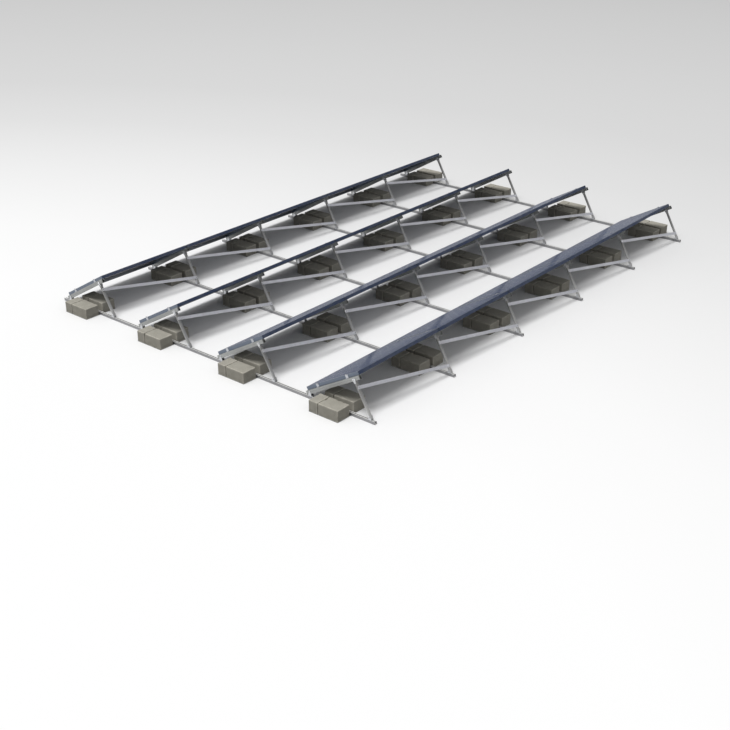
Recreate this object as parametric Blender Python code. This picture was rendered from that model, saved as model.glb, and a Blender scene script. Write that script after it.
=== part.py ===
"""Solar ballast mount: four tilted module rows on six ballasted base rails.

Lengths are in metres, +Z is up. Rail lines stand side by side along X and the rows
follow each other along Y, with their low edges towards +Y. The origin is on the
ground, under the middle of the whole array.
"""
import math

import bmesh
import bpy
from mathutils import Matrix, Vector

# Layout of the array
ROW_COUNT = 4
LINE_COUNT = 6
ROW_PITCH = 1.630
TILT = math.radians(30.0)

# Seats: pieces of different nodes keep SEAT_GAP, pieces fused in one node overlap by FUSE_LAP
SEAT_GAP = 0.0003
FUSE_LAP = 0.0002
WELD_DISTANCE = 0.00001
FLUSH_DIGITS = 6
CUT_OVERRUN = 0.004

# Module: an extruded frame round a glass laminate, with a junction box on its back
MODULE_LENGTH = 1.650
MODULE_WIDTH = 0.990
MODULE_DEPTH = 0.045
MODULE_GAP = 0.020
FRAME_LIP = 0.011
FRAME_WALL = 0.003
FRAME_FLANGE = 0.028
FRAME_FLANGE_THICKNESS = 0.002
LAMINATE_RECESS = 0.0015
LAMINATE_THICKNESS = 0.006
JUNCTION_LENGTH = 0.110
JUNCTION_WIDTH = 0.090
JUNCTION_DEPTH = 0.022
JUNCTION_EDGE = 0.120

# Clamps that hold the modules down on the sloped rails
CLAMP_LENGTH = 0.045
CLAMP_THICKNESS = 0.003
CLAMP_GRIP = 0.010
CLAMP_SIDE_GAP = 0.001
CLAMP_LOW_EDGE = 0.213
CLAMP_HIGH_EDGE = 0.211

# Base rail: C section with its slot up
BASE_WIDTH = 0.040
BASE_HEIGHT = 0.040
BASE_WALL = 0.003
BASE_SLOT = 0.012
BASE_REACH_LOW = 0.163
BASE_REACH_HIGH = 0.060

# Sloped rail: box section below a C slot that opens up
RAIL_WIDTH = 0.040
RAIL_HEIGHT = 0.055
RAIL_WALL = 0.003
RAIL_LIP = 0.0025
RAIL_SLOT_MOUTH = 0.012
RAIL_SLOT_DEPTH = 0.016
RAIL_REACH_LOW = 0.010
RAIL_REACH_HIGH = 0.015

# Rear leg: U channel square to the sloped rail, its web to the rear
LEG_DEPTH = 0.022
LEG_WALL = 0.0025
LEG_INSET = 0.106
LEG_FOOT_PIVOT = 0.034
LEG_FOOT_GAP = 0.001

# Saddles: a plate on the base rail with two ears round a pivot
SADDLE_PLATE = 0.003
SADDLE_EAR = 0.003
SADDLE_LENGTH = 0.060
EAR_RADIUS = 0.017
EAR_ARC_STEPS = 2
PIVOT_INSET = 0.065
LOW_CORNER_GAP = 0.0015

# Head plates at the joint of leg and sloped rail
HEAD_PLATE_THICKNESS = 0.003
HEAD_PLATE_LENGTH = 0.050
HEAD_PLATE_TOE = 0.028
HEAD_PLATE_RISE = 0.034
HEAD_PLATE_DROP = 0.034

# Diagonal brace: angle bar from the head of one leg to the foot of the next
BRACE_WIDTH = 0.044
BRACE_LIP = 0.020
BRACE_WALL = 0.003
BRACE_START_SHARE = 0.175
BRACE_END_SHARE = 0.795
BRACE_TAIL = 0.016

# Ballast: a tray under the base rail carries one long and one short block on each side
TRAY_THICKNESS = 0.003
TRAY_MARGIN = 0.004
TRAY_TAB_LENGTH = 0.080
TRAY_TAB_HEIGHT = 0.026
TRAY_TAB_THICKNESS = 0.003
BLOCK_WIDTH = 0.232
BLOCK_HEIGHT = 0.160
BLOCK_CHAMFER = 0.006
LONG_BLOCK = 0.325
SHORT_BLOCK = 0.145
BLOCK_JOINT = 0.012
BLOCK_TO_RAIL = 0.017
BALLAST_SETBACK = 0.328

# Derived sizes
BAY = MODULE_LENGTH + MODULE_GAP
LEG_WIDTH = RAIL_WIDTH
SIN_TILT = math.sin(TILT)
COS_TILT = math.cos(TILT)
RAIL_LENGTH = RAIL_REACH_LOW + MODULE_WIDTH + RAIL_REACH_HIGH
LEG_REACH = RAIL_LENGTH - PIVOT_INSET - LEG_INSET
BALLAST_LENGTH = LONG_BLOCK + BLOCK_JOINT + SHORT_BLOCK

# Heights above the ground
BASE_BOTTOM = TRAY_THICKNESS + SEAT_GAP
BASE_TOP = BASE_BOTTOM + BASE_HEIGHT
SADDLE_BOTTOM = BASE_TOP + SEAT_GAP
SADDLE_TOP = SADDLE_BOTTOM + SADDLE_PLATE
RAIL_DIP = PIVOT_INSET * SIN_TILT + 0.5 * RAIL_HEIGHT * COS_TILT
PIVOT_HEIGHT = SADDLE_TOP + LOW_CORNER_GAP + RAIL_DIP

# The leg's centre line meets the base rail's top this far down from the pivot's level
LEG_LINE = (PIVOT_HEIGHT - BASE_TOP + LEG_REACH * SIN_TILT) / COS_TILT
LEG_RUN = LEG_LINE - 0.5 * RAIL_HEIGHT
FOOT_TO_PIVOT = LEG_REACH * COS_TILT + LEG_LINE * SIN_TILT
BASE_LENGTH = BASE_REACH_HIGH + (ROW_COUNT - 1) * ROW_PITCH + FOOT_TO_PIVOT + BASE_REACH_LOW
FIRST_FOOT_Y = BASE_REACH_HIGH - 0.5 * BASE_LENGTH
FIRST_LINE_X = -0.5 * (LINE_COUNT - 1) * BAY

# Directions: across the rows, up the slope, and square to the slope
ACROSS = Vector((1.0, 0.0, 0.0))
UP_SLOPE = Vector((0.0, -COS_TILT, SIN_TILT))
SQUARE = Vector((0.0, SIN_TILT, COS_TILT))
DOWN_SLOPE = -UP_SLOPE
ALONG_Y = Vector((0.0, 1.0, 0.0))
UPRIGHT = Vector((0.0, 0.0, 1.0))


def clear_scene():
    """Remove every object of the open file."""
    for old in list(bpy.data.objects):
        bpy.data.objects.remove(old, do_unlink=True)


def new_collection(name):
    """Make a collection in the scene."""
    collection = bpy.data.collections.new(name)
    bpy.context.scene.collection.children.link(collection)
    return collection


def make_material(name, colour, roughness, metallic):
    """Make a Principled BSDF material."""
    material = bpy.data.materials.new(name)
    material.use_nodes = True
    shader = material.node_tree.nodes["Principled BSDF"]
    shader.inputs["Base Color"].default_value = (*colour, 1.0)
    shader.inputs["Roughness"].default_value = roughness
    shader.inputs["Metallic"].default_value = metallic
    return material


def axes_matrix(origin, x_axis, y_axis):
    """Matrix whose X and Y axes lie along the two directions."""
    z_axis = x_axis.cross(y_axis)
    turn = Matrix((x_axis, y_axis, z_axis)).transposed().to_4x4()
    return Matrix.Translation(origin) @ turn


def workshop_piece(name, mesh):
    """Put a mesh into the workshop, where pieces wait to be fused or cut."""
    for vertex in mesh.vertices:
        vertex.co.x = round(vertex.co.x, FLUSH_DIGITS)
    piece = bpy.data.objects.new(name, mesh)
    piece.hide_render = True
    piece.display_type = "WIRE"
    WORKSHOP.objects.link(piece)
    return piece


def evaluated_mesh(piece):
    """Mesh of an object as its modifiers leave it."""
    bpy.context.view_layer.update()
    depsgraph = bpy.context.evaluated_depsgraph_get()
    return bpy.data.meshes.new_from_object(piece.evaluated_get(depsgraph))


def weld(mesh):
    """Close an extruded mesh, even out the triangles of its ends and turn its faces out."""
    shape = bmesh.new()
    shape.from_mesh(mesh)
    bmesh.ops.remove_doubles(shape, verts=shape.verts, dist=WELD_DISTANCE)
    ends = [face for face in shape.faces if len(face.verts) == 3]
    seams = [edge for edge in shape.edges if all(len(face.verts) == 3 for face in edge.link_faces)]
    bmesh.ops.beautify_fill(shape, faces=ends, edges=seams)
    bmesh.ops.recalc_face_normals(shape, faces=shape.faces)
    shape.to_mesh(mesh)
    shape.free()


def extrude_outlines(name, outlines, length, matrix):
    """Extrude flat outlines, the later ones being holes, by length about their plane."""
    curve = bpy.data.curves.new(name, "CURVE")
    curve.dimensions = "2D"
    curve.fill_mode = "BOTH"
    curve.extrude = 0.5 * length
    for outline in outlines:
        spline = curve.splines.new("POLY")
        spline.points.add(len(outline) - 1)
        for point, (x, y) in zip(spline.points, outline):
            point.co = (x, y, 0.0, 1.0)
        spline.use_cyclic_u = True
    drawing = bpy.data.objects.new(name, curve)
    WORKSHOP.objects.link(drawing)
    mesh = evaluated_mesh(drawing)
    bpy.data.objects.remove(drawing, do_unlink=True)
    weld(mesh)
    mesh.transform(matrix)
    return workshop_piece(name, mesh)


def make_box(name, low, high, matrix=Matrix.Identity(4)):
    """Box between two corners."""
    low, high = Vector(low), Vector(high)
    shape = bmesh.new()
    bmesh.ops.create_cube(shape, size=1.0)
    bmesh.ops.scale(shape, vec=high - low, verts=shape.verts)
    bmesh.ops.translate(shape, vec=0.5 * (low + high), verts=shape.verts)
    mesh = bpy.data.meshes.new(name)
    shape.to_mesh(mesh)
    shape.free()
    mesh.transform(matrix)
    return workshop_piece(name, mesh)


def faceted(piece):
    """Mesh of a workshop piece with its many-sided faces cut into well-shaped triangles."""
    shape = bmesh.new()
    shape.from_mesh(piece.data)
    bmesh.ops.dissolve_degenerate(shape, dist=WELD_DISTANCE, edges=shape.edges)
    many_sided = [face for face in shape.faces if len(face.verts) > 4]
    bmesh.ops.triangulate(shape, faces=many_sided, ngon_method="BEAUTY")
    shape.to_mesh(piece.data)
    shape.free()
    return piece.data


def combine(body, others, operation):
    """Unite or cut a workshop piece with others, which are used up."""
    for other in others:
        boolean = body.modifiers.new(other.name, "BOOLEAN")
        boolean.operation = operation
        boolean.solver = "EXACT"
        boolean.object = other
    mesh = evaluated_mesh(body)
    body.modifiers.clear()
    body.data = mesh
    for other in others:
        bpy.data.objects.remove(other, do_unlink=True)
    return body


def mirrored_outline(half):
    """Close a right-hand half outline with its mirror image in X."""
    return half + [(-x, y) for x, y in reversed(half)]


def base_rail_mesh():
    """C section with lips at its slot, run along Y."""
    half_width = 0.5 * BASE_WIDTH
    half_slot = 0.5 * BASE_SLOT
    inner = half_width - BASE_WALL
    outer_half = [(half_width, 0.0), (half_width, BASE_HEIGHT), (half_slot, BASE_HEIGHT)]
    inner_half = [(half_slot, BASE_HEIGHT - BASE_WALL), (inner, BASE_HEIGHT - BASE_WALL), (inner, BASE_WALL)]
    outline = mirrored_outline(outer_half + inner_half)
    matrix = axes_matrix(Vector((0.0, 0.0, 0.0)), ACROSS, UPRIGHT)
    return extrude_outlines("base_section", [outline], BASE_LENGTH, matrix).data


def sloped_rail():
    """Box section with a C slot on top, centred on the pivot line."""
    half_width = 0.5 * RAIL_WIDTH
    inner = half_width - RAIL_WALL
    top = 0.5 * RAIL_HEIGHT
    mouth = 0.5 * RAIL_SLOT_MOUTH
    slot_floor = top - RAIL_SLOT_DEPTH
    outer = [
        (half_width, -top), (half_width, top), (mouth, top),
        (mouth, top - RAIL_LIP), (inner, top - RAIL_LIP), (inner, slot_floor),
    ]
    chamber = [(inner, RAIL_WALL - top), (inner, slot_floor - RAIL_WALL)]
    middle = DOWN_SLOPE * (PIVOT_INSET - 0.5 * RAIL_LENGTH)
    matrix = axes_matrix(middle, ACROSS, SQUARE)
    outlines = [mirrored_outline(outer), mirrored_outline(chamber)]
    return extrude_outlines("sloped_rail", outlines, RAIL_LENGTH, matrix)


def on_leg(distance):
    """Point on the leg's centre line, this far square below the pivot's level."""
    return UP_SLOPE * LEG_REACH - SQUARE * distance


def rear_leg():
    """U channel from the sloped rail's underside to the foot saddle."""
    half_width = 0.5 * LEG_WIDTH
    half_depth = 0.5 * LEG_DEPTH
    inner = half_width - LEG_WALL
    half = [
        (half_width, half_depth), (half_width, -half_depth),
        (inner, -half_depth), (inner, half_depth - LEG_WALL),
    ]
    head = 0.5 * RAIL_HEIGHT - FUSE_LAP
    sole = LEG_LINE - (SADDLE_TOP - BASE_TOP + LEG_FOOT_GAP + half_depth * SIN_TILT) / COS_TILT
    matrix = axes_matrix(on_leg(0.5 * (head + sole)), ACROSS, UP_SLOPE)
    return extrude_outlines("rear_leg", [mirrored_outline(half)], sole - head, matrix)


def saddle_outline(pivot_rise):
    """Side of a saddle: a flat foot that tapers to a round top about the pivot."""
    half = 0.5 * SADDLE_LENGTH
    reach = math.hypot(half, pivot_rise)
    tangent = math.atan2(pivot_rise, half) + math.acos(EAR_RADIUS / reach)
    start = math.pi - tangent
    sweep = math.pi - 2.0 * start
    points = [(-half, 0.0), (half, 0.0)]
    for step in range(EAR_ARC_STEPS + 1):
        angle = start + sweep * step / EAR_ARC_STEPS
        points.append((EAR_RADIUS * math.cos(angle), pivot_rise + EAR_RADIUS * math.sin(angle)))
    return points


def saddle(name, pivot, pivot_rise):
    """Bracket on the base rail whose two ears lie against the piece they hold."""
    foot = pivot - UPRIGHT * pivot_rise
    inside = 0.5 * RAIL_WIDTH
    matrix = axes_matrix(foot, ALONG_Y, UPRIGHT)
    bracket = extrude_outlines(name, [saddle_outline(pivot_rise)], 2.0 * (inside + SADDLE_EAR), matrix)
    low = foot + Vector((-inside, -SADDLE_LENGTH, SADDLE_PLATE))
    high = foot + Vector((inside, SADDLE_LENGTH, pivot_rise + 2.0 * EAR_RADIUS))
    return combine(bracket, [make_box(name + "_channel", low, high)], "DIFFERENCE")


def head_plates():
    """Two plates, narrower at the toe, that tie the leg to the sloped rail."""
    half_head = 0.5 * HEAD_PLATE_LENGTH
    half_toe = 0.5 * HEAD_PLATE_TOE
    toe = -0.5 * RAIL_HEIGHT - HEAD_PLATE_DROP
    head = -0.5 * RAIL_HEIGHT + HEAD_PLATE_RISE
    outline = [(half_toe, toe), (half_head, head), (-half_head, head), (-half_toe, toe)]
    offset = 0.5 * (RAIL_WIDTH + HEAD_PLATE_THICKNESS)
    plates = []
    for side in (-1.0, 1.0):
        matrix = axes_matrix(on_leg(0.0) + ACROSS * side * offset, DOWN_SLOPE, SQUARE)
        plates.append(extrude_outlines("head_plate", [outline], HEAD_PLATE_THICKNESS, matrix))
    return plates


def diagonal_brace():
    """Angle bar on the rear of the legs: fast on its own leg, seated on the next."""
    head = 0.5 * RAIL_HEIGHT
    rear = 0.5 * LEG_DEPTH
    start = on_leg(head + BRACE_START_SHARE * LEG_RUN) + UP_SLOPE * (rear - FUSE_LAP)
    end = on_leg(head + BRACE_END_SHARE * LEG_RUN) + UP_SLOPE * (rear + SEAT_GAP) + ACROSS * BAY
    along = (end - start).normalized()
    upward = UP_SLOPE.cross(along).normalized()
    outward = along.cross(upward)
    half = 0.5 * BRACE_WIDTH
    outline = [
        (-half, 0.0), (half, 0.0), (half, BRACE_WALL),
        (BRACE_WALL - half, BRACE_WALL), (BRACE_WALL - half, BRACE_LIP), (-half, BRACE_LIP),
    ]
    length = (end - start).length + 2.0 * BRACE_TAIL
    return extrude_outlines("diagonal_brace", [outline], length, axes_matrix(0.5 * (start + end), upward, outward))


def frame_mesh(with_brace):
    """Triangular frame, with its origin on the low pivot."""
    low_pivot = Vector((0.0, 0.0, 0.0))
    foot_pivot = on_leg(LEG_LINE - (LEG_FOOT_PIVOT + SADDLE_PLATE) / COS_TILT)
    pieces = [rear_leg(), *head_plates()]
    for name, pivot in (("low_saddle", low_pivot), ("foot_saddle", foot_pivot)):
        pieces.append(saddle(name, pivot, pivot.z + PIVOT_HEIGHT - SADDLE_BOTTOM))
    if with_brace:
        pieces.append(diagonal_brace())
    return faceted(combine(sloped_rail(), pieces, "UNION"))


def ballast_block(name, low, high):
    """Concrete block with its top edges chamfered."""
    block = make_box(name, low, high)
    shape = bmesh.new()
    shape.from_mesh(block.data)
    top = max(vertex.co.z for vertex in shape.verts)
    top_edges = [edge for edge in shape.edges if min(v.co.z for v in edge.verts) > top - BLOCK_CHAMFER]
    bmesh.ops.bevel(shape, geom=top_edges, offset=BLOCK_CHAMFER, segments=1, affect="EDGES")
    shape.to_mesh(block.data)
    shape.free()
    return block


def ballast_mesh():
    """Tray and four blocks, with the origin on the ground below the blocks' rear faces."""
    block_inside = 0.5 * BASE_WIDTH + BLOCK_TO_RAIL
    block_outside = block_inside + BLOCK_WIDTH
    tray_side = block_outside + TRAY_MARGIN
    tray_end = BALLAST_LENGTH + TRAY_MARGIN
    tray = make_box("tray", (-tray_side, -TRAY_MARGIN, 0.0), (tray_side, tray_end, TRAY_THICKNESS))
    seat = TRAY_THICKNESS - FUSE_LAP
    tab_inside = 0.5 * BASE_WIDTH + SEAT_GAP
    tab_outside = tab_inside + TRAY_TAB_THICKNESS
    tab_start = 0.5 * (BALLAST_LENGTH - TRAY_TAB_LENGTH)
    tab_end = tab_start + TRAY_TAB_LENGTH
    short_start = LONG_BLOCK + BLOCK_JOINT
    top = seat + BLOCK_HEIGHT
    pieces = []
    for side in (-1.0, 1.0):
        near, far = sorted((side * tab_inside, side * tab_outside))
        pieces.append(make_box("tray_tab", (near, tab_start, seat), (far, tab_end, seat + TRAY_TAB_HEIGHT)))
        near, far = sorted((side * block_inside, side * block_outside))
        pieces.append(ballast_block("long_block", (near, 0.0, seat), (far, LONG_BLOCK, top)))
        pieces.append(ballast_block("short_block", (near, short_start, seat), (far, BALLAST_LENGTH, top)))
    return faceted(combine(tray, pieces, "UNION"))


def one_module(start):
    """Module in the slope's own axes: X along the row, Y down the slope, Z square to it."""
    end = start + MODULE_LENGTH
    low_edge = PIVOT_INSET - RAIL_REACH_LOW
    high_edge = low_edge - MODULE_WIDTH
    bottom = 0.5 * RAIL_HEIGHT + SEAT_GAP
    top = bottom + MODULE_DEPTH
    glass = top - LAMINATE_RECESS
    back = glass - LAMINATE_THICKNESS
    flange_top = bottom + FRAME_FLANGE_THICKNESS

    def inset_box(name, inset, floor, ceiling):
        low = (start + inset, high_edge + inset, floor)
        high = (end - inset, low_edge - inset, ceiling)
        return make_box(name, low, high)

    body = inset_box("module", 0.0, bottom, top)
    cutters = [
        inset_box("glass_recess", FRAME_LIP, glass, top + CUT_OVERRUN),
        inset_box("back_opening", FRAME_FLANGE, bottom - CUT_OVERRUN, flange_top + CUT_OVERRUN),
        inset_box("back_cavity", FRAME_WALL, flange_top, back),
    ]
    body = combine(body, cutters, "DIFFERENCE")
    centre = 0.5 * (start + end)
    junction_high = high_edge + JUNCTION_EDGE
    low = (centre - 0.5 * JUNCTION_LENGTH, junction_high, back - JUNCTION_DEPTH)
    high = (centre + 0.5 * JUNCTION_LENGTH, junction_high + JUNCTION_WIDTH, back + FUSE_LAP)
    return combine(body, [make_box("junction_box", low, high)], "UNION")


def mid_clamp(line_x, centre_y):
    """T section in the gap between two modules."""
    foot = 0.5 * RAIL_HEIGHT + SEAT_GAP
    cap = foot + MODULE_DEPTH - FUSE_LAP
    stem = 0.5 * MODULE_GAP - CLAMP_SIDE_GAP
    grip = 0.5 * MODULE_GAP + CLAMP_GRIP
    half = [(stem, foot), (stem, cap), (grip, cap), (grip, cap + CLAMP_THICKNESS)]
    matrix = axes_matrix(Vector((line_x, centre_y, 0.0)), ACROSS, UPRIGHT)
    return extrude_outlines("mid_clamp", [mirrored_outline(half)], CLAMP_LENGTH, matrix)


def end_clamp(line_x, centre_y, side):
    """Z section at the end of a row: foot on the rail, web, and cap over the module's edge."""
    foot = 0.5 * RAIL_HEIGHT + SEAT_GAP
    cap = foot + MODULE_DEPTH - FUSE_LAP
    edge = 0.5 * MODULE_GAP - CLAMP_SIDE_GAP
    grip = 0.5 * MODULE_GAP + CLAMP_GRIP
    web = edge - CLAMP_THICKNESS
    toe = -0.5 * RAIL_WIDTH
    outline = [
        (toe, foot), (edge, foot), (edge, cap), (grip, cap),
        (grip, cap + CLAMP_THICKNESS), (web, cap + CLAMP_THICKNESS),
        (web, foot + CLAMP_THICKNESS), (toe, foot + CLAMP_THICKNESS),
    ]
    outline = [(side * x, y) for x, y in outline]
    matrix = axes_matrix(Vector((line_x, centre_y, 0.0)), ACROSS, UPRIGHT)
    return extrude_outlines("end_clamp", [outline], CLAMP_LENGTH, matrix)


def module_row_mesh():
    """A row's modules, joined by their clamps, with the origin on the first low pivot."""
    low_edge = PIVOT_INSET - RAIL_REACH_LOW
    high_edge = low_edge - MODULE_WIDTH
    pieces = [one_module(bay * BAY + 0.5 * MODULE_GAP) for bay in range(LINE_COUNT - 1)]
    last_x = (LINE_COUNT - 1) * BAY
    for centre_y in (low_edge - CLAMP_LOW_EDGE, high_edge + CLAMP_HIGH_EDGE):
        pieces.append(end_clamp(0.0, centre_y, 1.0))
        pieces.append(end_clamp(last_x, centre_y, -1.0))
        for line in range(1, LINE_COUNT - 1):
            pieces.append(mid_clamp(line * BAY, centre_y))
    mesh = faceted(combine(pieces[0], pieces[1:], "UNION"))
    mesh.transform(Matrix.Rotation(-TILT, 4, "X"))
    return mesh


def add_node(name, mesh, material, location):
    """Place one named piece of the mount."""
    mesh.materials.clear()
    mesh.materials.append(material)
    node = bpy.data.objects.new(name, mesh)
    node.location = location
    PARTS.objects.link(node)
    return node


def build():
    """Make each mesh once and place its copies over the array."""
    aluminium = make_material("rail_aluminium", (0.66, 0.67, 0.69), 0.35, 1.0)
    mill_finish = make_material("frame_aluminium", (0.72, 0.73, 0.75), 0.32, 1.0)
    concrete = make_material("concrete", (0.50, 0.48, 0.44), 0.95, 0.0)
    dark_glass = make_material("module_glass", (0.05, 0.07, 0.12), 0.12, 0.0)

    base_mesh = base_rail_mesh()
    braced_mesh = frame_mesh(True)
    plain_mesh = frame_mesh(False)
    ballast = ballast_mesh()
    module_row = module_row_mesh()

    for line in range(LINE_COUNT):
        line_x = FIRST_LINE_X + line * BAY
        add_node(f"base_rail_{line + 1}", base_mesh, aluminium, (line_x, 0.0, BASE_BOTTOM))
        for row in range(ROW_COUNT):
            foot_y = FIRST_FOOT_Y + row * ROW_PITCH
            place = f"r{row + 1}_{line + 1}"
            frame = plain_mesh if line == LINE_COUNT - 1 else braced_mesh
            add_node("frame_" + place, frame, mill_finish, (line_x, foot_y + FOOT_TO_PIVOT, PIVOT_HEIGHT))
            add_node("ballast_" + place, ballast, concrete, (line_x, foot_y + BALLAST_SETBACK, 0.0))
    for row in range(ROW_COUNT):
        pivot_y = FIRST_FOOT_Y + row * ROW_PITCH + FOOT_TO_PIVOT
        add_node(f"module_row_{row + 1}", module_row, dark_glass, (FIRST_LINE_X, pivot_y, PIVOT_HEIGHT))

    for leftover in list(WORKSHOP.objects):
        bpy.data.objects.remove(leftover, do_unlink=True)


clear_scene()
PARTS = new_collection("solar_ballast_mount")
WORKSHOP = new_collection("workshop")
build()
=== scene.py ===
import math

import bmesh
import bpy
from mathutils import Matrix, Vector, noise


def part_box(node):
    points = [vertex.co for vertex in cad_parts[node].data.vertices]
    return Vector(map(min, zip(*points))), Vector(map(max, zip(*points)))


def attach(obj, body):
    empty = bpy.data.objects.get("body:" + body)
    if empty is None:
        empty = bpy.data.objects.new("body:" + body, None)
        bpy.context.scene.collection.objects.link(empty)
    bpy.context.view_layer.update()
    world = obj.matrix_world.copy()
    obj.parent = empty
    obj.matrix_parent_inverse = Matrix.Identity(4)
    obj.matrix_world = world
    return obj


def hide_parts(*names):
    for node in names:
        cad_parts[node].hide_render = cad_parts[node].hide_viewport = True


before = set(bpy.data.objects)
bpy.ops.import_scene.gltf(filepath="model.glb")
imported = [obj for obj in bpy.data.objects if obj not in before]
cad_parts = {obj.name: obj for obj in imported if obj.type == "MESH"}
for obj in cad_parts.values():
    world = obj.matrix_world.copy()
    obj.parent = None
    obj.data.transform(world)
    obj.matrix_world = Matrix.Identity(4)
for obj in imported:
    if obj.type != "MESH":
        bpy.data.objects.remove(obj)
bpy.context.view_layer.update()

BODY = "root"

# Layout of the array, as in the solids
ROW_COUNT = 4
LINE_COUNT = 6
TILT = math.radians(30.0)
MODULE_LENGTH, MODULE_WIDTH, MODULE_DEPTH = 1.650, 0.990, 0.045
MODULE_GAP = 0.020
BAY = MODULE_LENGTH + MODULE_GAP
SEAT_GAP = 0.0003
BITE = 0.0002  # how far a piece sinks into the one that it is joined to
ARC_SHARE = 0.45  # most of an edge that one rounded corner takes
MERGE_DISTANCE = 1e-6

# Module frame and laminate
FRAME_LIP, FRAME_WALL, FRAME_FLANGE, FRAME_FLANGE_THICKNESS = 0.011, 0.0022, 0.028, 0.002
FRAME_GROOVE, FRAME_SHELF_SETBACK, FRAME_SHELF = 0.004, 0.001, 0.0016
FRAME_RADIUS = 0.0006
LAMINATE_RECESS, LAMINATE_THICKNESS = 0.0015, 0.006
CELL_COLUMNS, CELL_ROWS = 10, 6
CELL_SIDE, CELL_PITCH, CELL_CORNER = 0.156, 0.1585, 0.013
CELL_RAISE = 0.0001
BUSBARS_PER_CELL, BUSBAR_WIDTH, BUSBAR_CORNER, BUSBAR_OVERHANG = 3, 0.0016, 0.0002, 0.004
JUNCTION_LENGTH, JUNCTION_WIDTH, JUNCTION_DEPTH, JUNCTION_EDGE = 0.110, 0.090, 0.022, 0.120
JUNCTION_STEPS = ((0.62, 0.0, 0.006), (0.30, 0.003, 0.006), (0.08, 0.009, 0.004))  # share of depth, inset, corner
GLAND_RADIUS, GLAND_SIDES, GLAND_LENGTH = 0.0062, 12, 0.016
GLAND_SPREAD, GLAND_REACH, GLAND_DROP = 0.030, 0.007, 0.008

# Clamps
CLAMP_LENGTH, CLAMP_THICKNESS, CLAMP_GRIP, CLAMP_SIDE_GAP = 0.045, 0.003, 0.010, 0.001
CLAMP_LOW_EDGE, CLAMP_HIGH_EDGE = 0.213, 0.211
CLAMP_RADIUS = 0.0008

# Rails and legs
BASE_WIDTH, BASE_HEIGHT, BASE_WALL, BASE_SLOT = 0.040, 0.040, 0.003, 0.012
BASE_LIP_DROP, BASE_LIP_WALL, BASE_TOP_WALL = 0.006, 0.0022, 0.0028
RAIL_WIDTH, RAIL_HEIGHT, RAIL_WALL, RAIL_LIP = 0.040, 0.055, 0.003, 0.0025
RAIL_SLOT_MOUTH, RAIL_SLOT_DEPTH, RAIL_LIP_DROP, RAIL_LIP_WALL = 0.012, 0.016, 0.004, 0.002
RAIL_REACH_LOW, RAIL_REACH_HIGH = 0.010, 0.015
RAIL_GROOVE_WIDTH, RAIL_GROOVE_DEPTH, RAIL_GROOVE_SLANT = 0.005, 0.0009, 0.0006
SECTION_RADIUS = 0.0014
LEG_WIDTH, LEG_DEPTH, LEG_WALL = RAIL_WIDTH, 0.022, 0.0025
LEG_INSET, LEG_FOOT_PIVOT, LEG_FOOT_GAP = 0.106, 0.034, 0.001
RAIL_LENGTH = RAIL_REACH_LOW + MODULE_WIDTH + RAIL_REACH_HIGH

# Saddles, head plates and braces
PIVOT_INSET = 0.065
SADDLE_PLATE, SADDLE_EAR, SADDLE_LENGTH, EAR_RADIUS, EAR_STEPS = 0.003, 0.003, 0.060, 0.017, 12
SADDLE_PLATE_BITE = 0.0004
LOW_CORNER_GAP = 0.0015
HEAD_PLATE_THICKNESS, HEAD_PLATE_LENGTH, HEAD_PLATE_TOE = 0.003, 0.050, 0.028
HEAD_PLATE_RISE, HEAD_PLATE_DROP, HEAD_PLATE_CORNER = 0.034, 0.034, 0.006
BRACE_WIDTH, BRACE_LIP, BRACE_WALL = 0.044, 0.020, 0.003
BRACE_START_SHARE, BRACE_END_SHARE, BRACE_TAIL = 0.175, 0.795, 0.016

# Bolts: distances from the pivots, down the legs and up the trays' tabs, and their thread ends
FOOT_BOLT_SPREAD, TAB_BOLT_HEIGHT = 0.0215, 0.014
HEAD_PLATE_BOLTS = (0.010, 0.049)
HEAD_THREAD, NUT_THREAD, BOLT_SEED = 0.0004, 0.0045, 7
WASHER_SIDES, HEAD_SIDES, THREAD_SIDES = 18, 6, 12
CROWN_TOP_SHARE, CROWN_HEIGHT_SHARE = 0.8, 0.16

# Ballast
TRAY_THICKNESS, TRAY_MARGIN, TRAY_CORNER, TAB_CORNER = 0.003, 0.004, 0.006, 0.004
TRAY_TAB_LENGTH, TRAY_TAB_HEIGHT, TRAY_TAB_THICKNESS = 0.080, 0.026, 0.003
BLOCK_WIDTH, BLOCK_HEIGHT, LONG_BLOCK, SHORT_BLOCK, BLOCK_JOINT = 0.232, 0.160, 0.325, 0.145, 0.012
BLOCK_TO_RAIL, BALLAST_SETBACK = 0.017, 0.328
BALLAST_LENGTH = LONG_BLOCK + BLOCK_JOINT + SHORT_BLOCK
BLOCK_EDGE_RADIUS, BLOCK_MESH_PITCH = 0.007, 0.024

# Blocks' cast faces: depths, noise fields as scale and offset, and shares of the edge radius
ROUGHNESS_DEPTH, SAG_DEPTH, MOULD_DRAFT, FOOT_DRAFT = 0.0006, 0.0007, 0.0009, 0.0006
CHIP_DEPTH, CHIP_SCALE, CHIP_START, CHIP_WEAR = 0.016, 27.0, 0.22, 4.0
ROUGHNESS_FIELD, SAG_FIELD = (38.0, (7.0, 3.0, 1.0)), (9.0, (2.0, 5.0, 9.0))
TONE_FIELD = (3.7, (1.5, 0.5, 0.0))
EDGE_CUTS, EDGE_REACH, FOOT_ROUNDING = (0.0, 0.35, 1.0, 2.4), 1.5, 0.3

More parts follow.
